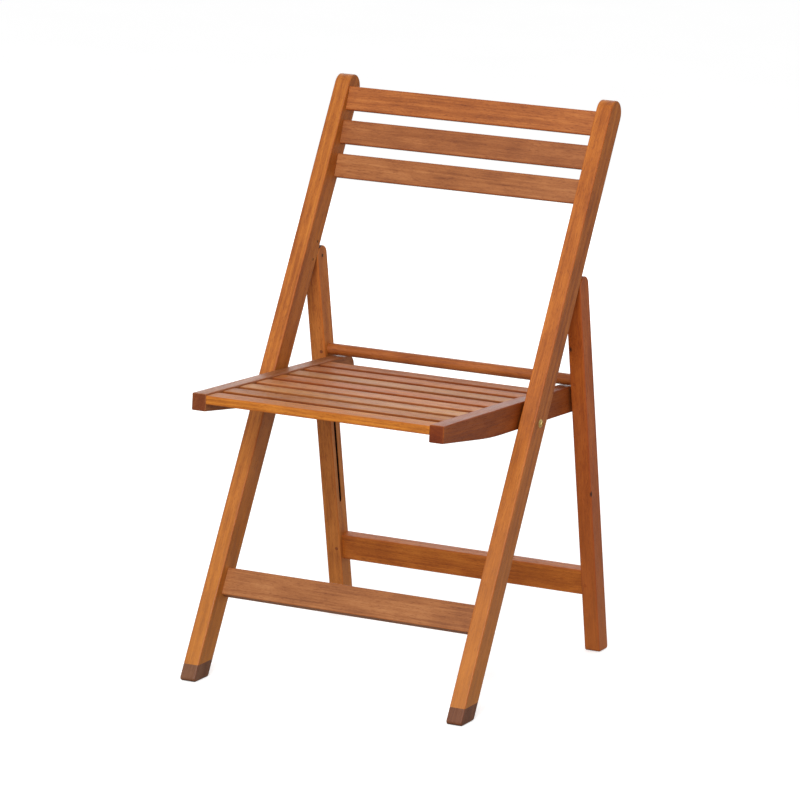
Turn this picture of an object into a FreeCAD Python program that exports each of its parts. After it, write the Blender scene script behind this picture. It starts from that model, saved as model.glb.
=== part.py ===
import FreeCAD, Part
import math
import os
from FreeCAD import Placement, Rotation, Vector

# Folding wooden garden chair.  Two long front legs carry the back and lean backwards,
# two shorter rear legs hang from a hinge behind them, and the seat turns on a bolt in
# each front leg while a pin at its rear slides down a groove in each rear leg.
# Millimetres.  X to the chair's left-right, -Y its front, +Z up, floor at Z = 0.

# ---- driving dimensions ---------------------------------------------------------
HEIGHT = 785.0            # floor to the top of the back
WIDTH = 423.5             # over the outer faces of the legs
LEG_T = 22.75             # thickness of every leg, across the chair
FRONT_DEPTH = 37.5        # front leg, front face to back face
REAR_DEPTH = 29.0         # rear leg, front face to back face
FRONT_LEAN = 28.2         # front legs lean back from the vertical, degrees
REAR_LEAN = 12.9          # rear legs lean forward from the vertical, degrees
HINGE_UP = 640.0          # hinge axis, measured up the front leg
HINGE_GAP = 1.0           # rear leg's round head to the front leg's back face

SEAT_HEIGHT = 408.7       # top of the rails at the front
SEAT_OVERHANG = 31.0      # seat front ahead of the front feet
SEAT_TILT = 2.3           # seat falls to the rear, degrees
RAIL_LENGTH = 445.0
RAIL_T = 21.0
RAIL_FRONT_HEIGHT = 23.6
RAIL_HEIGHT = 36.8
RAIL_GAP = 3.0            # rail to leg, filled by a washer at the bolt
SLAT_COUNT = 8
SLAT_W = 34.0
SLAT_GAP = 13.8
SLAT_T = 12.0
SLAT_DROP = 2.0           # slat tops below the rail tops
SLAT_SET_BACK = 1.0       # first slat behind the rails' front ends

BACK_SLAT_H = 33.7
BACK_SLAT_GAP = 14.4
BACK_SLAT_T = 9.0
BACK_SLAT_LOW = (748.6, 26.8)    # lowest front edge: up the front leg, behind its face
BACK_SLAT_TURN = 10.1            # slats stand this much more upright than the legs

STRETCHER_H = 38.5
STRETCHER_T = 17.0
FRONT_STRETCHER = (131.5, 14.4)  # lower front edge: up the front leg, behind its face
REAR_STRETCHER = (467.5, -6.5)   # lower front edge: below the hinge, from the centre line
REAR_STRETCHER_H = 37.8
BAR_R = 8.0
BAR_CLEAR = 1.083         # round bar above the seat rails, chair open

SEAT_BOLT = (431.0, 17.5)        # up the front leg, behind its face
SLIDE_PIN_ALONG = 417.0          # rear pin from the seat's front end
SLIDE_PIN_R = 3.0
GROOVE_DEPTH = 8.0
GROOVE_SPARE = 4.0        # groove runs on below the folded pin
FOOT_H = 22.0             # dark foot block under each front leg
FOOT_R = 4.0              # rounding at the front and back of every foot
EASE = 1.8                # rounded arris on legs, rails and slats

# ---- fits -----------------------------------------------------------------------
RUN = 0.06                # radial clearance of a turning pin
SLIDE = 0.15              # slide pin to each groove wall
FACE = 0.3                # between faces that pass each other
TENON = 12.0              # tenon length of slats and stretchers
SHOULDER = 1.5            # tenon shoulder on every side
SEAT_TENON = 8.0

a = math.radians(FRONT_LEAN)
b = math.radians(REAR_LEAN)
t = math.radians(SEAT_TILT)
ax = Vector(1, 0, 0)
inner = WIDTH / 2 - LEG_T                # inner face of the legs
leg_mid = WIDTH / 2 - LEG_T / 2
rail_out = inner - RAIL_GAP              # outer face of the seat rails
rail_in = rail_out - RAIL_T

# The three local frames: Y goes back across the piece and Z up along it.
hinge_back = FRONT_DEPTH + HINGE_GAP + REAR_DEPTH / 2
FRONT = Placement(Vector(0, 0, 0), Rotation(ax, -FRONT_LEAN))
HINGE = FRONT.multVec(Vector(0, hinge_back, HINGE_UP))
REAR = Placement(HINGE, Rotation(ax, REAR_LEAN))
SEAT = Placement(Vector(0, -SEAT_OVERHANG, SEAT_HEIGHT), Rotation(ax, -SEAT_TILT))


def box(x0, x1, y0, y1, z0, z1):
    return Part.makeBox(x1 - x0, y1 - y0, z1 - z0, Vector(x0, y0, z0))


def rod(x0, x1, y, z, r):
    """A cylinder lying across the chair."""
    return Part.makeCylinder(r, x1 - x0, Vector(x0, y, z), ax)


def extrude(edges, x0, x1):
    """Side outline, closed in the plane X = x0, made solid as far as x1."""
    return Part.Face(Part.Wire(edges)).extrude(Vector(x1 - x0, 0, 0))


def line(p, q):
    return Part.makeLine(p, q)


def arc(p, q, r):
    return Part.Arc(p, q, r).toShape()


def leg_board(edges, x0, x1):
    """A leg from its side outline: corners rounded as feet are, then all arrises eased."""
    side = Part.Face(Part.Wire(edges)).makeOffset2D(-FOOT_R).makeOffset2D(FOOT_R)
    return ease_outline(side.extrude(Vector(x1 - x0, 0, 0)))


def ease_outline(solid, r=EASE, across=()):
    """Round the arrises of both side faces, and those across the chair named by their (y, z)."""
    x0, x1 = solid.BoundBox.XMin, solid.BoundBox.XMax
    picked = []
    for e in solid.Edges:
        xs = [v.X for v in e.Vertexes]
        on_side = all(abs(x - x0) < 1e-6 for x in xs) or all(abs(x - x1) < 1e-6 for x in xs)
        mid = e.CenterOfMass
        named = any(math.hypot(mid.y - y, mid.z - z) < 0.01 for y, z in across)
        if on_side or named:
            picked.append(e)
    return solid.makeFillet(r, picked)


def ease_bar(solid, r):
    """Round the four long arrises of a bar that runs across the chair."""
    length = solid.BoundBox.XLength
    return solid.makeFillet(r, [e for e in solid.Edges if abs(e.Length - length) < 1e-6])


def mirrored(shape):
    return shape.mirror(Vector(0, 0, 0), ax)


parts = {}


def keep(name, shape, frame):
    parts[name] = shape.transformed(frame.toMatrix())


def keep_pair(name, shape, frame):
    """A right-hand piece (+X) and its mirror image on the left."""
    keep(name + "_right", shape, frame)
    keep(name + "_left", mirrored(shape), frame)


def crossbar(half, y0, y1, z0, z1, tenon, r):
    """Board between the legs with a shouldered tenon on each end.  Returns board and tenons."""
    tenons = box(-half - tenon, half + tenon, y0 + SHOULDER, y1 - SHOULDER,
                 z0 + 2 * SHOULDER, z1 - 2 * SHOULDER)
    board = ease_bar(box(-half, half, y0, y1, z0, z1), r).fuse(tenons).removeSplitter()
    return board, tenons


# ---- where the moving pins are --------------------------------------------------
bolt = FRONT.multVec(Vector(0, SEAT_BOLT[1], SEAT_BOLT[0]))
pin_drop = RAIL_HEIGHT / 2
slide_pin = SEAT.multVec(Vector(0, SLIDE_PIN_ALONG, -pin_drop))
reach = (slide_pin - bolt).Length                        # seat bolt to slide pin
pin_rest = REAR.inverse().multVec(slide_pin)             # on the rear leg, chair open
down_to_bolt = HINGE_UP - SEAT_BOLT[0]
aside = hinge_back - SEAT_BOLT[1] + pin_rest.y
pin_folded = -(down_to_bolt + math.sqrt(reach ** 2 - aside ** 2))   # folded flat

# ---- front legs -----------------------------------------------------------------
# One straight board each, foot to head, with a half-round head and the foot cut to the floor.
r_head = FRONT_DEPTH / 2
head = (HEIGHT - r_head + r_head * math.sin(a)) / math.cos(a)
heel = FRONT_DEPTH * math.tan(a)
x0, x1 = inner, WIDTH / 2
outline = [
    line(Vector(x0, 0, 0), Vector(x0, 0, head)),
    arc(Vector(x0, 0, head), Vector(x0, r_head, head + r_head), Vector(x0, FRONT_DEPTH, head)),
    line(Vector(x0, FRONT_DEPTH, head), Vector(x0, FRONT_DEPTH, heel)),
    line(Vector(x0, FRONT_DEPTH, heel), Vector(x0, 0, 0)),
]
leg = leg_board(outline, x0, x1)

# The bottom of each front leg is a separate dark block, flush all round, held by a dowel
# that follows the leg.
cut = Part.makeBox(LEG_T * 2, 400, 400, Vector(x0 - LEG_T / 2, -200, FOOT_H - 400))
below = cut.transformed(FRONT.inverse().toMatrix())
foot = leg.common(below)
leg = leg.cut(below)
dowel_z = (FOOT_H + r_head * math.sin(a)) / math.cos(a)
dowel = Part.makeCylinder(4.0, 24, Vector(leg_mid, r_head, dowel_z - 12), Vector(0, 0, 1))
leg = leg.cut(dowel)
foot = foot.cut(dowel)
keep_pair("foot_block", foot, FRONT)
keep_pair("foot_dowel", dowel, FRONT)

# ---- back slats -----------------------------------------------------------------
# Three flat slats in one plane, tenoned into the legs; the plane runs from near the front
# face of the legs at the top to near their back face below.
SLAT_PLANE = FRONT.multiply(Placement(Vector(0, BACK_SLAT_LOW[1], BACK_SLAT_LOW[0]),
                                      Rotation(ax, BACK_SLAT_TURN)))
in_front = FRONT.inverse().multiply(SLAT_PLANE)
for i, name in enumerate(("lower", "middle", "top")):
    z = i * (BACK_SLAT_H + BACK_SLAT_GAP)
    slat, tenons = crossbar(inner, 0, BACK_SLAT_T, z, z + BACK_SLAT_H, TENON, EASE)
    keep("back_slat_" + name, slat, SLAT_PLANE)
    leg = leg.cut(tenons.transformed(in_front.toMatrix()))

# ---- front stretcher ------------------------------------------------------------
z, y = FRONT_STRETCHER
stretcher, tenons = crossbar(inner, y, y + STRETCHER_T, z, z + STRETCHER_H, TENON, EASE)
keep("front_stretcher", stretcher, FRONT)
leg = leg.cut(tenons)

# ---- concealed hinges -----------------------------------------------------------
# A three-cornered steel plate is let into a slot in the front leg's back face and held by
# two cross pins; its third corner stands behind the leg and carries the rear leg.
STRAP_T = 3.0
STRAP_R = 7.0                     # rounding of the plate's corners
STRAP_PIN_BACK = 28.5             # both cross pins, behind the front leg's face
STRAP_PINS = {"lower": -15.0, "upper": 12.0}    # along the leg from the hinge axis
STRAP_PIN_R = 2.0
HINGE_PIN_R = 2.5
PIN_SUNK = 0.4                    # pin's inner end below the wood
PIN_STOP = 4.0                    # blind end of the pin's bore from the leg's outer face
s0, s1 = leg_mid - STRAP_T / 2, leg_mid + STRAP_T / 2
corners = [Vector(s0, STRAP_PIN_BACK, HINGE_UP + up) for up in STRAP_PINS.values()]
corners.append(Vector(s0, hinge_back, HINGE_UP))
core = Part.Face(Part.makePolygon(corners + corners[:1]))
strap = core.makeOffset2D(STRAP_R).extrude(Vector(STRAP_T, 0, 0))
strap = strap.cut(rod(s0 - 1, s1 + 1, hinge_back, HINGE_UP, HINGE_PIN_R + RUN))
slot = box(s0, s1, STRAP_PIN_BACK - STRAP_R, FRONT_DEPTH + 1,
           HINGE_UP + STRAP_PINS["lower"] - STRAP_R, HINGE_UP + STRAP_PINS["upper"] + STRAP_R)
leg = leg.cut(slot)
for name, up in STRAP_PINS.items():
    x0, x1 = inner + PIN_SUNK, WIDTH / 2 - PIN_STOP
    keep_pair("strap_pin_" + name, rod(x0, x1, STRAP_PIN_BACK, HINGE_UP + up, STRAP_PIN_R), FRONT)
    hole = rod(inner - 1, x1, STRAP_PIN_BACK, HINGE_UP + up, STRAP_PIN_R)
    strap = strap.cut(hole)
    leg = leg.cut(hole)
keep_pair("hinge_strap", strap, FRONT)

# ---- seat bolts -----------------------------------------------------------------
# A brass button-head bolt runs through each front leg and a nylon washer into a threaded
# insert in the seat rail; the leg turns on its shank.
BOLT_R = 3.0
BOLT_HEAD_R = 6.0
BOLT_HEAD_H = 3.2
SOCKET = 2.3              # hexagon socket, centre to corner
INSERT_R = 5.0
INSERT_LENGTH = 14.0
leg = leg.cut(rod(inner - 1, WIDTH / 2 + 1, SEAT_BOLT[1], SEAT_BOLT[0], BOLT_R + RUN))
keep_pair("front_leg", leg, FRONT)

seat_bolt = SEAT.inverse().multVec(bolt)         # in the seat's own frame
y, z = seat_bolt.y, seat_bolt.z
under_head = WIDTH / 2 + FACE
dome_r = (BOLT_HEAD_R ** 2 + BOLT_HEAD_H ** 2) / (2 * BOLT_HEAD_H)
dome = Part.makeSphere(dome_r, Vector(under_head + BOLT_HEAD_H - dome_r, y, z))
dome = dome.common(rod(under_head, under_head + BOLT_HEAD_H + 1, y, z, BOLT_HEAD_R))
corners = [Vector(under_head + 0.9, y + SOCKET * math.cos(k * math.pi / 3),
                  z + SOCKET * math.sin(k * math.pi / 3)) for k in range(7)]
socket = Part.Face(Part.makePolygon(corners)).extrude(Vector(BOLT_HEAD_H, 0, 0))
screw = dome.fuse(rod(rail_out - INSERT_LENGTH + 1, under_head, y, z, BOLT_R)).cut(socket)
keep_pair("seat_bolt", screw, SEAT)

insert_x = rail_out - INSERT_LENGTH
insert = rod(insert_x, rail_out, y, z, INSERT_R).cut(rod(insert_x, rail_out + 1, y, z, BOLT_R))
keep_pair("seat_insert", insert, SEAT)
washer = rod(rail_out, inner - FACE, y, z, 8.0).cut(rod(rail_out - 1, inner, y, z, BOLT_R))
keep_pair("seat_washer", washer, SEAT)

# ---- seat rails -----------------------------------------------------------------
# Deep at the rear, tapering underneath towards the front, with a half-round rear end.
r_end = RAIL_HEIGHT / 2
taper_end = 153.0         # where the taper would meet the level underside
blend = 35.0
slope = (RAIL_HEIGHT - RAIL_FRONT_HEIGHT) / taper_end
x0, x1 = rail_in, rail_out
end = RAIL_LENGTH - r_end
low_front = Vector(x0, 0, -RAIL_FRONT_HEIGHT)
low_taper = Vector(x0, taper_end - blend, -RAIL_HEIGHT + slope * blend)
low_level = Vector(x0, taper_end + blend, -RAIL_HEIGHT)
curve = Part.BezierCurve()
curve.setPoles([low_level, Vector(x0, taper_end, -RAIL_HEIGHT), low_taper])
outline = [
    line(Vector(x0, 0, 0), Vector(x0, end, 0)),
    arc(Vector(x0, end, 0), Vector(x0, RAIL_LENGTH, -r_end), Vector(x0, end, -RAIL_HEIGHT)),
    line(Vector(x0, end, -RAIL_HEIGHT), low_level),
    curve.toShape(),
    line(low_taper, low_front),
    line(low_front, Vector(x0, 0, 0)),
]
rail = ease_outline(extrude(outline, x0, x1), across=((0, 0), (0, -RAIL_FRONT_HEIGHT)))
rail = rail.cut(rod(insert_x, rail_out + 1, y, z, INSERT_R))

# ---- seat slats -----------------------------------------------------------------
# Eight thin slats with wide gaps between them, tenoned into the rails.
for i in range(SLAT_COUNT):
    front = SLAT_SET_BACK + i * (SLAT_W + SLAT_GAP)
    slat, tenons = crossbar(rail_in, front, front + SLAT_W, -SLAT_DROP - SLAT_T, -SLAT_DROP,
                            SEAT_TENON, EASE)
    keep("seat_slat_%d" % (i + 1), slat, SEAT)
    rail = rail.cut(tenons)
keep_pair("seat_rail", rail, SEAT)

# ---- rear legs ------------------------------------------------------------------
# Half-round head around the hinge pin, foot cut to the floor, and a blind groove on the
# inner face that carries the slide pin from the open to the folded position.
r_head = REAR_DEPTH / 2
sole = -HINGE.z / math.cos(b)             # floor, on the leg's centre line
fall = r_head * math.tan(b)
x0, x1 = inner, WIDTH / 2
outline = [
    line(Vector(x0, -r_head, sole + fall), Vector(x0, -r_head, 0)),
    arc(Vector(x0, -r_head, 0), Vector(x0, 0, r_head), Vector(x0, r_head, 0)),
    line(Vector(x0, r_head, 0), Vector(x0, r_head, sole - fall)),
    line(Vector(x0, r_head, sole - fall), Vector(x0, -r_head, sole + fall)),
]
leg = leg_board(outline, x0, x1)

groove_r = SLIDE_PIN_R + SLIDE
groove_floor = inner + GROOVE_DEPTH
groove_end = pin_folded - GROOVE_SPARE
groove = box(inner - 1, groove_floor, pin_rest.y - groove_r, pin_rest.y + groove_r,
             groove_end, pin_rest.z)
for z in (groove_end, pin_rest.z):
    groove = groove.fuse(rod(inner - 1, groove_floor, pin_rest.y, z, groove_r))
leg = leg.cut(groove)

# The head is slotted from the front for the hinge plate, which the leg turns round.
slot_half = STRAP_T / 2 + FACE
swing = STRAP_R + 1.0
slot = box(leg_mid - slot_half, leg_mid + slot_half, -r_head - 1, STRAP_R,
           -r_head - swing, r_head + 1)
slot = slot.fuse(rod(leg_mid - slot_half, leg_mid + slot_half, 0, 0, swing))
leg = leg.cut(slot)
hinge_pin = rod(inner + PIN_SUNK, WIDTH / 2 - PIN_STOP, 0, 0, HINGE_PIN_R)
leg = leg.cut(rod(inner - 1, WIDTH / 2 - PIN_STOP, 0, 0, HINGE_PIN_R))
keep_pair("hinge_pin", hinge_pin, REAR)

# ---- round bar and rear stretcher -----------------------------------------------
# Both join the rear legs; a small dowel from the leg's front face pins each joint.
PEG_R = 2.4
PEG_PAST = 5.0            # peg's end past the leg's centre line
BAR_TENON_R = 6.0
bar_down = (SEAT.inverse().multVec(HINGE).z - BAR_R - BAR_CLEAR) / math.cos(b + t)
bar_ends = rod(-inner - TENON, inner + TENON, 0, -bar_down, BAR_TENON_R)
round_bar = rod(-inner, inner, 0, -bar_down, BAR_R).fuse(bar_ends).removeSplitter()
leg = leg.cut(bar_ends)
drop, y = REAR_STRETCHER
board, tenons = crossbar(inner, y, y + STRETCHER_T, -drop, -drop + REAR_STRETCHER_H, TENON, EASE)
leg = leg.cut(tenons)
peg_x = inner + TENON / 2
for name, z in (("bar_peg", -bar_down), ("stretcher_peg", -drop + REAR_STRETCHER_H / 2)):
    peg = Part.makeCylinder(PEG_R, r_head + PEG_PAST, Vector(peg_x, -r_head, z), Vector(0, 1, 0))
    both = peg.fuse(mirrored(peg))
    round_bar = round_bar.cut(both)
    board = board.cut(both)
    leg = leg.cut(peg)
    keep_pair(name, peg, REAR)
keep("round_bar", round_bar, REAR)
keep("rear_stretcher", board, REAR)
keep_pair("rear_leg", leg, REAR)

# ---- slide pins -----------------------------------------------------------------
# Steel pins that hold up the rear of the seat and run in the grooves.
keep_pair("slide_pin", rod(rail_out + FACE, groove_floor - FACE, pin_rest.y, pin_rest.z,
                           SLIDE_PIN_R), REAR)

# ---- put the origin under the middle of the chair, and write ---------------------
os.makedirs("parts", exist_ok=True)
everything = Part.makeCompound(list(parts.values())).BoundBox
middle = Vector(0, -(everything.YMin + everything.YMax) / 2, 0)
for name, shape in parts.items():
    shape.translate(middle)
    shape.exportStep("parts/%s.step" % name)
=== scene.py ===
import bpy
from math import radians
from mathutils import Matrix, Vector

# Folding garden chair of oiled acacia.  The frame's own pieces show; this file gives each
# one its finish, in the order they are put together, then the floor, lights and camera.

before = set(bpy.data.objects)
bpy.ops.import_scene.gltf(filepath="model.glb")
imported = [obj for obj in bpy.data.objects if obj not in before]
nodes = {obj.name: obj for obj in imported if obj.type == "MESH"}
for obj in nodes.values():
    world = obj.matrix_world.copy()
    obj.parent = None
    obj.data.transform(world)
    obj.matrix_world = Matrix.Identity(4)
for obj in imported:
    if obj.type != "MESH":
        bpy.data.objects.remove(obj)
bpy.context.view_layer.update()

# ---- front legs -----------------------------------------------------------------
# Two long straight acacia boards, planed, their arrises eased with a router and then
# wiped with an orange-brown oil.  They carry the back and everything else hangs on them.
FRONT_LEAN = -28.2               # degrees from upright, about the chair's left-right axis
OILED_ROUGHNESS = 0.46
OILED_GLOSS = 0.36
MM_PER_M = 1000.0
LOG_MM = 9000                    # length of the log that the boards are sawn from

# The wood's patterns.  Three sizes are two across the fibres and one along them.
SWAY_MM = (60, 60, 330)          # slow bends in the run of the fibres
SWAY_REACH_MM = 16
RING_MM = 5.5                    # growth rings of a fast-grown plantation acacia
FIBRE_MM = (1.9, 1.9, 1000 / 9)  # ribbons of fibre, drawn coarser than the real 0.5 mm
SPECK_MM = (1.2, 1.2, 100 / 33)  # flecks where fibres rise and dip, drawn twice real size
CLOUD_MM = (15, 15, 46)          # brown smudges of wild grain
DRIFT_MM = (50, 50, 200)         # slow change along a board
PORE_MM = (0.7, 0.7, 100 / 11)   # open pores, drawn twice as wide as the real ones
PORE_OPENS, PORE_OPEN = 0.56, 0.70      # the pore pattern's values at a pore's rim and middle
PORE_DARKNESS = 0.5
ARRIS_MM, SHARP_ARRIS_MM = 2.2, 0.3     # from the corner, where the arris's painted shade starts and is full
EDGE_OF_GROOVE_MM = 0.6          # clean edge left at the mouth of a groove

# What each pattern adds to the figure, which runs from 0, dark, to 1, pale.
RIBBON_SHARE, SPECK_SHARE = 0.22, 0.10
RING_SHARE, CLOUD_SHARE, DRIFT_SHARE = 0.19, 0.27, 0.22

# Shades of the figure: where in it each lies, and its share of the tone's red, green, blue.
FIGURE_SHADES = ((0.38, (0.62, 0.52, 0.45)), (0.46, (0.86, 0.80, 0.72)),
                 (0.53, (1.04, 1.05, 1.05)), (0.62, (1.24, 1.40, 1.60)))
# Painted bounce light and sheen low on the legs, as shares of the tone's red, green, blue.
BOUNCE_LIT = (1.15, 1.55, 2.40)
# Painted shade on the eased arrises, as shares of the tone's red, green, blue.
ARRIS_SHADE = (0.92, 0.66, 0.60)
ARRIS_REDNESS = 0.55
PORE_TINT, END_GRAIN_TINT = "#a2705a", "#c8aea2"
END_GRAIN_COSINES = (0.72, 0.96)        # of a face to the fibres: starts, and wholly end grain
NARROW_EDGE_COSINES = (0.45, 0.85)
# The knots' own brown, and the painted shade inside the rear legs' grooves.
KNOT_BROWN, GROOVE_SHADE = "#3a1a0c", "#2a150c"

# Sheen and relief of the oiled skin.
DARK_RIBBON, PALE_RIBBON = 0.3, 0.7     # the ribbon pattern's values
SMOOTHER, ROUGHER = 0.09, 0.10          # taken off the roughness there, and added to it
PORE_DULLNESS, PORE_SUNK = 0.3, -0.8
RELIEF_STRENGTH, RELIEF_M = 0.35, 0.0004

# A knot: fibres part round it up to so many of its radii, and it is long along the board.
KNOT_PARTS_MM = 9.0
KNOT_PARTS_RADII = 6
KNOT_SQUASH = 0.55
KNOT_RIM, KNOT_HEART = 1.3, 0.5         # in its radii, where its brown starts and is full


def linear(hex_colour):
    """sRGB hex to the linear RGBA that nodes work in."""
    parts = [int(hex_colour[i:i + 2], 16) / 255 for i in (1, 3, 5)]
    return [c / 12.92 if c <= 0.04045 else ((c + 0.055) / 1.055) ** 2.4 for c in parts] + [1.0]


def shade(hex_colour, share):
    """A colour's linear value with its red, green and blue multiplied by their shares."""
    return [min(c * s, 1.0) for c, s in zip(linear(hex_colour), share)] + [1.0]


def per_mm(sizes):
    """Scale that gives a pattern these sizes in millimetres."""
    return [1 / size for size in sizes]


def add(tree, kind, inputs, **settings):
    """Adds a node.  An input is a plain value, a socket, or a node, for its first output."""
    node = tree.nodes.new(kind)
    for name, value in settings.items():
        setattr(node, name, value)
    for name, value in inputs.items():
        if isinstance(value, bpy.types.Node):
            value = value.outputs[0]
        if isinstance(value, bpy.types.NodeSocket):
            tree.links.new(value, node.inputs[name])
        else:
            node.inputs[name].default_value = value
    return node


def surface(name, **values):
    """A new material, with plain values set on its Principled shader.
    Gives the material, its node tree and the shader."""
    material = bpy.data.materials.new(name)
    material.use_nodes = True
    tree = material.node_tree
    shader = tree.nodes["Principled BSDF"]
    for socket, value in values.items():
        shader.inputs[socket.replace("_", " ")].default_value = value
    return material, tree, shader


def paint(node, material):
    """Every material slot of a frame node takes this finish."""
    slots = nodes[node].material_slots
    if not slots:
        nodes[node].data.materials.append(material)
    for piece_slot in slots:
        piece_slot.material = material


def board_turn(tilt, crosswise=False):
    """Rotation that lays the grain, local Z, along a board: up it, or crosswise along X."""
    turn = Matrix.Rotation(radians(tilt), 3, "X")
    return turn @ Matrix.Rotation(radians(90), 3, "Y") if crosswise else turn


def on_board(tree, node, turn):
    """A point's place on its board, in millimetres from the board's middle: Z runs along
    the grain.  Gives the node that works it out, and half the board's size."""
    back = turn.transposed()
    points = [back @ v.co for v in nodes[node].data.vertices]
    low = Vector([min(p[i] for p in points) for i in range(3)])
    high = Vector([max(p[i] for p in points) for i in range(3)])
    place = add(tree, "ShaderNodeTexCoord", {})
    board = add(tree, "ShaderNodeMapping", {
        "Vector": place.outputs["Object"], "Location": turn @ ((low + high) / 2),
        "Rotation": turn.to_euler(), "Scale": [1 / MM_PER_M] * 3}, vector_type="TEXTURE")
    return board, (high - low) * MM_PER_M / 2


def faces_along(tree, turn, axis, least, most):
    """How squarely the surface faces along one of its board's axes: 0 where the cosine
    between them is the least, 1 where it is the most."""
    place = add(tree, "ShaderNodeTexCoord", {})
    cosine = add(tree, "ShaderNodeVectorMath", {0: place.outputs["Normal"],
                                                1: turn @ Vector(axis)}, operation="DOT_PRODUCT")
    either_way = add(tree, "ShaderNodeMath", {0: cosine.outputs["Value"]}, operation="ABSOLUTE")
    return add(tree, "ShaderNodeMapRange", {"Value": either_way, "From Min": least,
                                            "From Max": most})


def round_knots(tree, board, bent, knots):
    """Parts the fibres round each knot.  Gives their new run, and how far a point lies
    inside a knot."""
    inside = None
    for x, y, z, radius in knots:
        there = add(tree, "ShaderNodeVectorMath", {0: board, 1: (x, y, z)}, operation="SUBTRACT")
        squashed = add(tree, "ShaderNodeVectorMath", {0: there, 1: (1, 1, KNOT_SQUASH)},
                       operation="MULTIPLY")
        off = add(tree, "ShaderNodeVectorMath", {0: squashed}, operation="LENGTH")
        bulge = add(tree, "ShaderNodeMapRange", {
            "Value": off.outputs["Value"], "From Min": radius * KNOT_PARTS_RADII,
            "From Max": 0.0, "To Max": KNOT_PARTS_MM}, interpolation_type="SMOOTHSTEP")
        bent = add(tree, "ShaderNodeVectorMath", {0: bent, 1: bulge})
        spot = add(tree, "ShaderNodeMapRange", {
            "Value": off.outputs["Value"], "From Min": radius * KNOT_RIM,
            "From Max": radius * KNOT_HEART}, interpolation_type="SMOOTHSTEP")
        inside = spot if inside is None else add(
            tree, "ShaderNodeMath", {0: inside, 1: spot}, operation="MAXIMUM")
    return bent, inside


def grain_and_figure(tree, log, bent):
    """Gives the ribbons of fibre, the fine grain of ribbons and flecks, and the whole
    figure, which has the rings, smudges and drift as well."""
    out_from_heart = add(tree, "ShaderNodeVectorMath", {0: bent, 1: (1, 1, 0)},
                         operation="MULTIPLY")
    radius = add(tree, "ShaderNodeVectorMath", {0: out_from_heart}, operation="LENGTH")
    ring_at = add(tree, "ShaderNodeMath", {0: radius.outputs["Value"], 1: 1 / RING_MM},
                  operation="MULTIPLY")
    rings = add(tree, "ShaderNodeTexNoise", {"W": ring_at, "Scale": 1.0, "Detail": 2.0,
                                             "Roughness": 0.6}, noise_dimensions="1D")
    fields = []
    for where, sizes, look in ((bent, FIBRE_MM, {"Detail": 2.0, "Roughness": 0.55}),
                               (log, SPECK_MM, {"Detail": 1.0}),
                               (bent, CLOUD_MM, {"Detail": 3.0}),
                               (log, DRIFT_MM, {"Detail": 1.0})):
        at = add(tree, "ShaderNodeVectorMath", {0: where, 1: per_mm(sizes)},
                 operation="MULTIPLY")
        fields.append(add(tree, "ShaderNodeTexNoise", {"Vector": at, "Scale": 1.0, **look}))
    ribbons, specks, clouds, drift = fields
    grain = add(tree, "ShaderNodeMath", {0: ribbons, 1: RIBBON_SHARE}, operation="MULTIPLY")
    grain = add(tree, "ShaderNodeMath", {0: specks, 1: SPECK_SHARE, 2: grain},
                operation="MULTIPLY_ADD")
    figure = grain
    for field, share in ((rings, RING_SHARE), (clouds, CLOUD_SHARE), (drift, DRIFT_SHARE)):
        figure = add(tree, "ShaderNodeMath", {0: field, 1: share, 2: figure},
                     operation="MULTIPLY_ADD")
    return ribbons, grain, figure


def figured_tone(tree, figure, tone):
    """The board's tone, darker and browner or paler and yellower with the figure."""
    wood = add(tree, "ShaderNodeValToRGB", {"Fac": figure})
    ramp = wood.color_ramp.elements
    for _ in FIGURE_SHADES[2:]:              # a new ramp has two stops already
        ramp.new(0.5)
    for stop, (at, share) in zip(ramp, FIGURE_SHADES):
        stop.position = at
        stop.color = shade(tone, share)
    return wood


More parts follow.
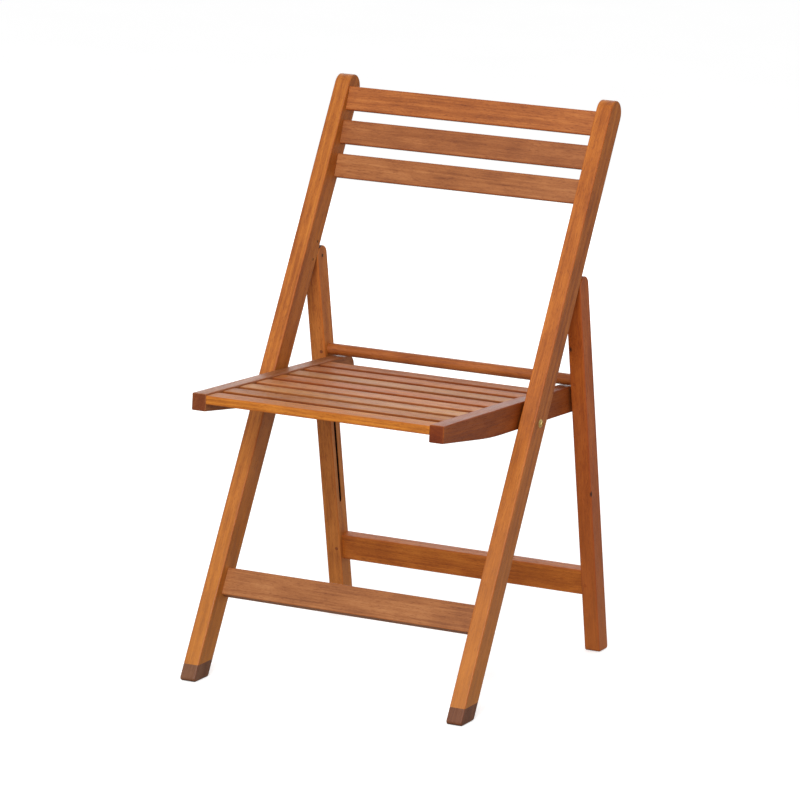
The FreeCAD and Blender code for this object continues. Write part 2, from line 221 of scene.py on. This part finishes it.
def oiled_acacia(node, turn, tone, heart, rough=OILED_ROUGHNESS, knots=(), groove_mm=None,
                 pale=0.0, gloss=OILED_GLOSS, gap_shade_tone=None):
    """Acacia, planed and oiled.  The eye gets warm orange ribbons of grain that run with the
    board, slow drifts to brown, dark pores, dark end grain and a soft sheen.
    heart: where the middle of the log lay from the board's own centre, in millimetres.
    knots: each one's place from that centre, and its radius.  groove_mm: a groove's side (1 is
    +X), depth, place along Y and half-width.  pale: how strongly painted bounce light and
    sheen lighten the lower end.
    gap_shade_tone: painted shade for the narrow edges, front and back, that face the shaded gaps
    between slats; the colour is multiplied by this."""
    material, tree, shader = surface("oiled_acacia_" + node, IOR=1.5, Specular_IOR_Level=gloss)
    board, half = on_board(tree, node, turn)
    # Every board comes from its own place along the log, so no two have the same figure.
    run = (sum(ord(letter) * (i + 3) for i, letter in enumerate(node)) * 37) % LOG_MM
    log = add(tree, "ShaderNodeVectorMath", {0: board, 1: (*heart, run)})
    slow = add(tree, "ShaderNodeVectorMath", {0: log, 1: per_mm(SWAY_MM)}, operation="MULTIPLY")
    sway = add(tree, "ShaderNodeTexNoise", {"Vector": slow, "Scale": 1.0, "Detail": 1.0})
    bent = add(tree, "ShaderNodeVectorMath", {
        0: sway.outputs["Color"], 1: (SWAY_REACH_MM, SWAY_REACH_MM, 0), 2: log},
        operation="MULTIPLY_ADD")
    bent, in_knot = round_knots(tree, board, bent, knots)
    ribbons, grain, figure = grain_and_figure(tree, log, bent)
    colour = figured_tone(tree, figure, tone)

    pore_at = add(tree, "ShaderNodeVectorMath", {0: bent, 1: per_mm(PORE_MM)},
                  operation="MULTIPLY")
    pores = add(tree, "ShaderNodeTexNoise", {"Vector": pore_at, "Scale": 1.0, "Detail": 1.0})
    open_pore = add(tree, "ShaderNodeMapRange", {"Value": pores, "From Min": PORE_OPENS,
                                                 "From Max": PORE_OPEN,
                                                 "To Max": PORE_DARKNESS})
    colour = add(tree, "ShaderNodeMixRGB", {"Fac": open_pore, "Color1": colour,
                                            "Color2": linear(PORE_TINT)}, blend_type="MULTIPLY")

    across = add(tree, "ShaderNodeSeparateXYZ", {0: board})
    # Painted bounce light and sheen: the lower end is lightened towards the foot, up to pale.
    painted_bounce = add(tree, "ShaderNodeMapRange", {"Value": across.outputs["Z"], "From Min": 0.0,
                                                 "From Max": -half.z, "To Max": pale})
    colour = add(tree, "ShaderNodeMixRGB", {"Fac": painted_bounce, "Color1": colour,
                                            "Color2": shade(tone, BOUNCE_LIT)})

    # Painted shade: the eased arrises are darker and redder, as their rounded faces turn from
    # the light.
    near_edge = []
    for axis, reach in (("X", half.x), ("Y", half.y)):
        out = add(tree, "ShaderNodeMath", {0: across.outputs[axis]}, operation="ABSOLUTE")
        near_edge.append(add(tree, "ShaderNodeMapRange", {
            "Value": out, "From Min": reach - ARRIS_MM, "From Max": reach - SHARP_ARRIS_MM}))
    arris = add(tree, "ShaderNodeMath", {0: near_edge[0], 1: near_edge[1]}, operation="MULTIPLY")
    arris = add(tree, "ShaderNodeMath", {0: arris, 1: ARRIS_REDNESS}, operation="MULTIPLY")
    colour = add(tree, "ShaderNodeMixRGB", {"Fac": arris, "Color1": colour,
                                            "Color2": shade(tone, ARRIS_SHADE)})

    # Across the ends of the fibres the oil soaks in deep and dries nearly brown.
    end_grain = faces_along(tree, turn, (0, 0, 1), *END_GRAIN_COSINES)
    colour = add(tree, "ShaderNodeMixRGB", {
        "Fac": end_grain, "Color1": colour, "Color2": linear(END_GRAIN_TINT)},
        blend_type="MULTIPLY")
    # Painted shade: the front and back narrow edges, facing into the gaps between slats, are
    # darkened.
    if gap_shade_tone:
        shaded_narrow_edge = faces_along(tree, turn, (0, 1, 0), *NARROW_EDGE_COSINES)
        colour = add(tree, "ShaderNodeMixRGB", {
            "Fac": shaded_narrow_edge, "Color1": colour, "Color2": linear(gap_shade_tone)},
            blend_type="MULTIPLY")
    if in_knot:
        colour = add(tree, "ShaderNodeMixRGB", {"Fac": in_knot, "Color1": colour,
                                                "Color2": linear(KNOT_BROWN)})
    if groove_mm:
        # Painted shade: inside the groove's recess the wood is painted near black.
        side, depth, y, reach = groove_mm
        middle = side * (half.x - EDGE_OF_GROOVE_MM - depth / 2)
        in_x = add(tree, "ShaderNodeMath", {0: across.outputs["X"], 1: middle, 2: depth / 2},
                   operation="COMPARE")
        in_y = add(tree, "ShaderNodeMath", {0: across.outputs["Y"], 1: y, 2: reach},
                   operation="COMPARE")
        in_groove = add(tree, "ShaderNodeMath", {0: in_x, 1: in_y}, operation="MULTIPLY")
        colour = add(tree, "ShaderNodeMixRGB", {"Fac": in_groove, "Color1": colour,
                                                "Color2": linear(GROOVE_SHADE)})
    tree.links.new(colour.outputs[0], shader.inputs["Base Color"])

    # Pale ribbons stand a little rougher than dark ones, and the open pores are dull and sunk.
    sheen = add(tree, "ShaderNodeMapRange", {
        "Value": ribbons, "From Min": DARK_RIBBON, "From Max": PALE_RIBBON,
        "To Min": rough - SMOOTHER, "To Max": rough + ROUGHER})
    dull = add(tree, "ShaderNodeMath", {0: open_pore, 1: PORE_DULLNESS, 2: sheen},
               operation="MULTIPLY_ADD")
    tree.links.new(dull.outputs[0], shader.inputs["Roughness"])
    relief = add(tree, "ShaderNodeMath", {0: open_pore, 1: PORE_SUNK, 2: grain},
                 operation="MULTIPLY_ADD")
    bump = add(tree, "ShaderNodeBump", {"Strength": RELIEF_STRENGTH, "Distance": RELIEF_M,
                                        "Height": relief})
    tree.links.new(bump.outputs[0], shader.inputs["Normal"])
    paint(node, material)


oiled_acacia("front_leg_left", board_turn(FRONT_LEAN), "#b36620", (70, 25), pale=0.4)
oiled_acacia("front_leg_right", board_turn(FRONT_LEAN), "#b2631f", (-48, 62), pale=0.5)

# ---- foot blocks ----------------------------------------------------------------
# A short block of the same wood under each front leg, dipped in dark sealer against the
# wet, glued and dowelled on.
SEALED = {"foot_block_left": "#744a30", "foot_block_right": "#74452a"}
for node, tone in SEALED.items():
    oiled_acacia(node, board_turn(FRONT_LEAN), tone, (20, -33))
for node in ("foot_dowel_left", "foot_dowel_right"):
    oiled_acacia(node, board_turn(FRONT_LEAN), "#c08a5a", (9, 12))

# ---- back slats -----------------------------------------------------------------
# Three thin flat slats, ten degrees more upright than the legs, each tenoned into both.
BACK_TILT = -18.1
BACK_SLATS = {"back_slat_top": ("#ab6129", (55, 30)), "back_slat_middle": ("#9f5e2f", (12, 44)),
              "back_slat_lower": ("#a46434", (-35, 26))}
for node, (tone, heart) in BACK_SLATS.items():
    oiled_acacia(node, board_turn(BACK_TILT, crosswise=True), tone, heart)

# ---- front stretcher ------------------------------------------------------------
# Flat board low down between the front legs, tenoned and glued.
oiled_acacia("front_stretcher", board_turn(FRONT_LEAN, crosswise=True), "#a36637", (40, 35))

# ---- concealed hinges -----------------------------------------------------------
# Zinc-plated steel plates let into the back of the front legs, each held by two blackened
# cross pins; the rear leg turns on a third, through the plate's other end.
PATCH_GRITS = 9                  # dull patches are this many times as wide as the scratches
PATCH_STARTS, PATCH_FULL = 0.42, 0.66    # the patch pattern's values
PATCH_DARKNESS = 0.7
SCRATCH_STRENGTH, SCRATCH_M = 0.25, 0.00005


def rubbed_metal(name, tone, dark, grit_mm, roughness):
    """Plated or turned metal handled for a while.  The eye gets a soft shine broken by fine
    scratches and dull darker patches."""
    material, tree, shader = surface(name, Metallic=1.0)
    place = add(tree, "ShaderNodeTexCoord", {})
    fine = add(tree, "ShaderNodeTexNoise", {"Vector": place.outputs["Object"],
                                            "Scale": MM_PER_M / grit_mm, "Detail": 3.0})
    patches = add(tree, "ShaderNodeTexNoise", {
        "Vector": place.outputs["Object"], "Scale": MM_PER_M / (grit_mm * PATCH_GRITS),
        "Detail": 2.0})
    dulled = add(tree, "ShaderNodeMapRange", {"Value": patches, "From Min": PATCH_STARTS,
                                              "From Max": PATCH_FULL, "To Max": PATCH_DARKNESS})
    colour = add(tree, "ShaderNodeMixRGB", {"Fac": dulled, "Color1": linear(tone),
                                            "Color2": linear(dark)})
    tree.links.new(colour.outputs[0], shader.inputs["Base Color"])
    worn = add(tree, "ShaderNodeMapRange", {
        "Value": fine, "From Min": 0.3, "From Max": 0.7,
        "To Min": roughness - 0.08, "To Max": roughness + 0.12})
    tree.links.new(worn.outputs[0], shader.inputs["Roughness"])
    bump = add(tree, "ShaderNodeBump", {"Strength": SCRATCH_STRENGTH, "Distance": SCRATCH_M,
                                        "Height": fine})
    tree.links.new(bump.outputs[0], shader.inputs["Normal"])
    return material


zinc = rubbed_metal("zinc_plated_steel", "#8d8f90", "#5b5a58", grit_mm=0.35, roughness=0.38)
blackened = rubbed_metal("blackened_steel_pin", "#4a4038", "#2c231e", grit_mm=0.3, roughness=0.5)
for side in ("left", "right"):
    paint("hinge_strap_" + side, zinc)
    for pin in ("strap_pin_lower_", "strap_pin_upper_", "hinge_pin_"):
        paint(pin + side, blackened)

# ---- seat bolts -----------------------------------------------------------------
# Brass-plated button-head bolts on which the seat turns, each into a brass insert in the
# seat rail, with a brown nylon washer, moulded and dull, between leg and rail.
NYLON_MOTTLE_MM = 10 / 9
brass = rubbed_metal("brass_plated_bolt", "#e8c984", "#a8843f", grit_mm=0.4, roughness=0.30)
nylon, nylon_tree, nylon_shader = surface("brown_nylon_washer", IOR=1.53, Roughness=0.5)
nylon_place = add(nylon_tree, "ShaderNodeTexCoord", {})
nylon_skin = add(nylon_tree, "ShaderNodeTexNoise", {
    "Vector": nylon_place.outputs["Object"], "Scale": MM_PER_M / NYLON_MOTTLE_MM,
    "Detail": 2.0})
nylon_tone = add(nylon_tree, "ShaderNodeMixRGB", {"Fac": nylon_skin, "Color1": linear("#3b2a20"),
                                                  "Color2": linear("#56402f")})
nylon_tree.links.new(nylon_tone.outputs[0], nylon_shader.inputs["Base Color"])
for side in ("left", "right"):
    paint("seat_bolt_" + side, brass)
    paint("seat_insert_" + side, brass)
    paint("seat_washer_" + side, nylon)

# ---- seat rails -----------------------------------------------------------------
# One board on edge down each side of the seat, tapered under the front, half-round behind.
SEAT_TILT = -2.3
RUBBED_ROUGHNESS = 0.48          # polished by hands and trouser legs
RUBBED_GLOSS = 0.24              # the oil has worn thin there
RAIL_TONES = {"seat_rail_left": ("#96592f", (35, 18)), "seat_rail_right": ("#934917", (-20, 40))}
for node, (tone, heart) in RAIL_TONES.items():
    oiled_acacia(node, board_turn(SEAT_TILT - 90), tone, heart, rough=RUBBED_ROUGHNESS,
                 gloss=RUBBED_GLOSS)

# ---- seat slats -----------------------------------------------------------------
# Eight thin boards tenoned between the rails; redder and paler boards come as they fall.
# All but the front one have painted shade on their front and back edges, which face into
# the shaded gaps between slats.
SLAT_ROUGHNESS = 0.55
# Painted shade for the slats' front and back edges in the gaps between them.
GAP_SHADE = "#bda596"
SEAT_SLATS = (("#bd7224", (30, 22)), ("#a86524", (-14, 30)), ("#b5763a", (18, -42)),
              ("#bd7840", (44, 16)), ("#b46727", (-26, 25)), ("#ad6f35", (8, 36)),
              ("#ae6425", (33, -28)), ("#a86024", (-40, 14)))
for number, (tone, heart) in enumerate(SEAT_SLATS, start=1):
    oiled_acacia("seat_slat_%d" % number, board_turn(SEAT_TILT, crosswise=True), tone, heart,
                 rough=SLAT_ROUGHNESS, gloss=RUBBED_GLOSS,
                 gap_shade_tone=None if number == 1 else GAP_SHADE)

# ---- rear legs ------------------------------------------------------------------
# Shorter boards that hang from the hinges, each with a blind groove routed in its inner
# face for the seat's pin.  The right one has two small knots on its front edge.
REAR_LEAN = 12.9
GROOVE_MM = (8.2, -2.05, 3.4)    # depth, middle from the leg's own middle, and half-width
UPPER_KNOT_MM = (-8, -13, 181, 2.6)
LOWER_KNOT_MM = (11, -13, -35, 2.4)
oiled_acacia("rear_leg_left", board_turn(REAR_LEAN), "#c1722f", (52, 30), pale=0.2,
             groove_mm=(1, *GROOVE_MM))
oiled_acacia("rear_leg_right", board_turn(REAR_LEAN), "#ad571d", (-30, 48), pale=0.5,
             knots=(UPPER_KNOT_MM, LOWER_KNOT_MM), groove_mm=(-1, *GROOVE_MM))

# ---- round bar and rear stretcher -----------------------------------------------
# A turned bar and a flat board tie the rear legs together.  Both are glued, and pegged with
# small dowels driven in from the legs' front faces.
oiled_acacia("round_bar", board_turn(0, crosswise=True), "#a25924", (11, 16))
oiled_acacia("rear_stretcher", board_turn(REAR_LEAN, crosswise=True), "#b76520", (28, 34))
for side, tone in (("left", "#8a4a22"), ("right", "#a8541d")):
    for peg in ("bar_peg_", "stretcher_peg_"):
        oiled_acacia(peg + side, board_turn(0, crosswise=True), tone, (3, 4))

# ---- slide pins -----------------------------------------------------------------
# Steel pins from the back of the seat rails, each running in a rear leg's groove.
for side in ("left", "right"):
    paint("slide_pin_" + side, zinc)

# ---- floor ----------------------------------------------------------------------
# Matt white studio paper, wide enough to fill every view, just clear of the feet.  The
# camera sees it white and a little lit from within, as a sweep lit from behind is, while
# what it throws back up at the chair is a softer warm grey.
FLOOR_M = 120.0
FLOOR_DROP_M = 0.0004
PAPER_GLOW = 0.42
bpy.ops.mesh.primitive_plane_add(size=FLOOR_M, location=(0, 0, -FLOOR_DROP_M))
floor = bpy.context.object
floor.name = "studio_floor"
white, white_tree, white_shader = surface("matt_white_paper", Roughness=1.0,
                                          Specular_IOR_Level=0.0)
paper_place = add(white_tree, "ShaderNodeTexCoord", {})
paper_tooth = add(white_tree, "ShaderNodeTexNoise", {"Vector": paper_place.outputs["Object"],
                                                     "Scale": 3.0, "Detail": 2.0})
seen = add(white_tree, "ShaderNodeLightPath", {})
paper_white = add(white_tree, "ShaderNodeMixRGB", {"Fac": paper_tooth,
                                                   "Color1": linear("#f4f4f4"),
                                                   "Color2": linear("#f8f8f8")})
paper_tone = add(white_tree, "ShaderNodeMixRGB", {"Fac": seen.outputs["Is Camera Ray"],
                                                  "Color1": linear("#aaa6a1"),
                                                  "Color2": paper_white})
white_tree.links.new(paper_tone.outputs[0], white_shader.inputs["Base Color"])
paper_glow = add(white_tree, "ShaderNodeMath", {0: seen.outputs["Is Camera Ray"],
                                                1: PAPER_GLOW}, operation="MULTIPLY")
white_shader.inputs["Emission Color"].default_value = (1, 1, 1, 1)
white_tree.links.new(paper_glow.outputs[0], white_shader.inputs["Emission Strength"])
floor.data.materials.append(white)

# ---- light ----------------------------------------------------------------------
# A white room: dim all round, brighter overhead and behind, darker to the right.  One large
# soft key stands in front and above, a weaker one behind, and a small low fill out to the
# chair's right.  The room itself looks plain white.
ROOM_LEVEL, ROOM_OVERHEAD = 0.34, 0.70
ROOM_BEHIND, ROOM_RIGHT = 0.30, -0.18    # added towards the back and towards the right
world = bpy.data.worlds.new("white_room")
bpy.context.scene.world = world
world.use_nodes = True
room = world.node_tree
way = add(room, "ShaderNodeTexCoord", {})
way_parts = add(room, "ShaderNodeSeparateXYZ", {0: way.outputs["Generated"]})
overhead = add(room, "ShaderNodeMapRange", {
    "Value": way_parts.outputs["Z"], "From Min": 0.0, "From Max": 1.0,
    "To Min": ROOM_LEVEL, "To Max": ROOM_OVERHEAD})
behind = add(room, "ShaderNodeMapRange", {
    "Value": way_parts.outputs["Y"], "From Min": 0.1, "From Max": 0.9, "To Max": ROOM_BEHIND})
right = add(room, "ShaderNodeMapRange", {
    "Value": way_parts.outputs["X"], "From Min": 0.0, "From Max": 1.0, "To Max": ROOM_RIGHT})
glow = add(room, "ShaderNodeMath", {0: overhead, 1: behind})
glow = add(room, "ShaderNodeMath", {0: glow, 1: right})
watched = add(room, "ShaderNodeLightPath", {})
brightness = add(room, "ShaderNodeMapRange", {"Value": watched.outputs["Is Camera Ray"],
                                              "To Min": glow, "To Max": 1.0})
room.links.new(brightness.outputs[0], room.nodes["Background"].inputs["Strength"])
room.nodes["Background"].inputs["Color"].default_value = (1, 1, 1, 1)


def softbox(name, place, aim, size, watts):
    """Square soft light at a place, turned towards a point."""
    lamp = bpy.data.lights.new(name, "AREA")
    lamp.size = size
    lamp.energy = watts
    box = bpy.data.objects.new(name, lamp)
    box.location = place
    box.visible_camera = False       # a light never stands in front of a view
    box.rotation_euler = (Vector(aim) - Vector(place)).to_track_quat("-Z", "Y").to_euler()
    bpy.context.scene.collection.objects.link(box)


CHAIR_MIDDLE = (0, 0, 0.4)
LOW_ON_THE_RIGHT = (0.2, 0.1, 0.15)
softbox("key", (0.8, -3.6, 2.1), CHAIR_MIDDLE, size=2.2, watts=135)
softbox("back", (-1.4, 3.4, 1.6), CHAIR_MIDDLE, size=2.4, watts=32)
softbox("low_fill", (1.6, 0.6, 0.3), LOW_ON_THE_RIGHT, size=0.8, watts=3.5)

# ---- camera ---------------------------------------------------------------------
# A long lens six metres off to the chair's right front, held above the chair's back and
# tipped down at it.
LENS_MM, SENSOR_MM = 209.2, 36.0
CAMERA_PLACE = (2.6874, -5.6044, 1.6760)
CAMERA_ROUND, CAMERA_DOWN, CAMERA_ROLL = 25.64, 11.81, 2.01     # degrees
FAR_ENOUGH_M = 200.0             # past the floor's far edge
lens = bpy.data.cameras.new("camera")
lens.lens = LENS_MM
lens.sensor_width = SENSOR_MM
lens.clip_end = FAR_ENOUGH_M
camera = bpy.data.objects.new("camera", lens)
camera.matrix_world = (Matrix.Translation(CAMERA_PLACE)
                       @ Matrix.Rotation(radians(CAMERA_ROUND), 4, "Z")
                       @ Matrix.Rotation(radians(90 - CAMERA_DOWN), 4, "X")
                       @ Matrix.Rotation(radians(CAMERA_ROLL), 4, "Z"))
bpy.context.scene.collection.objects.link(camera)
bpy.context.scene.camera = camera
bpy.context.scene.view_settings.view_transform = "Standard"
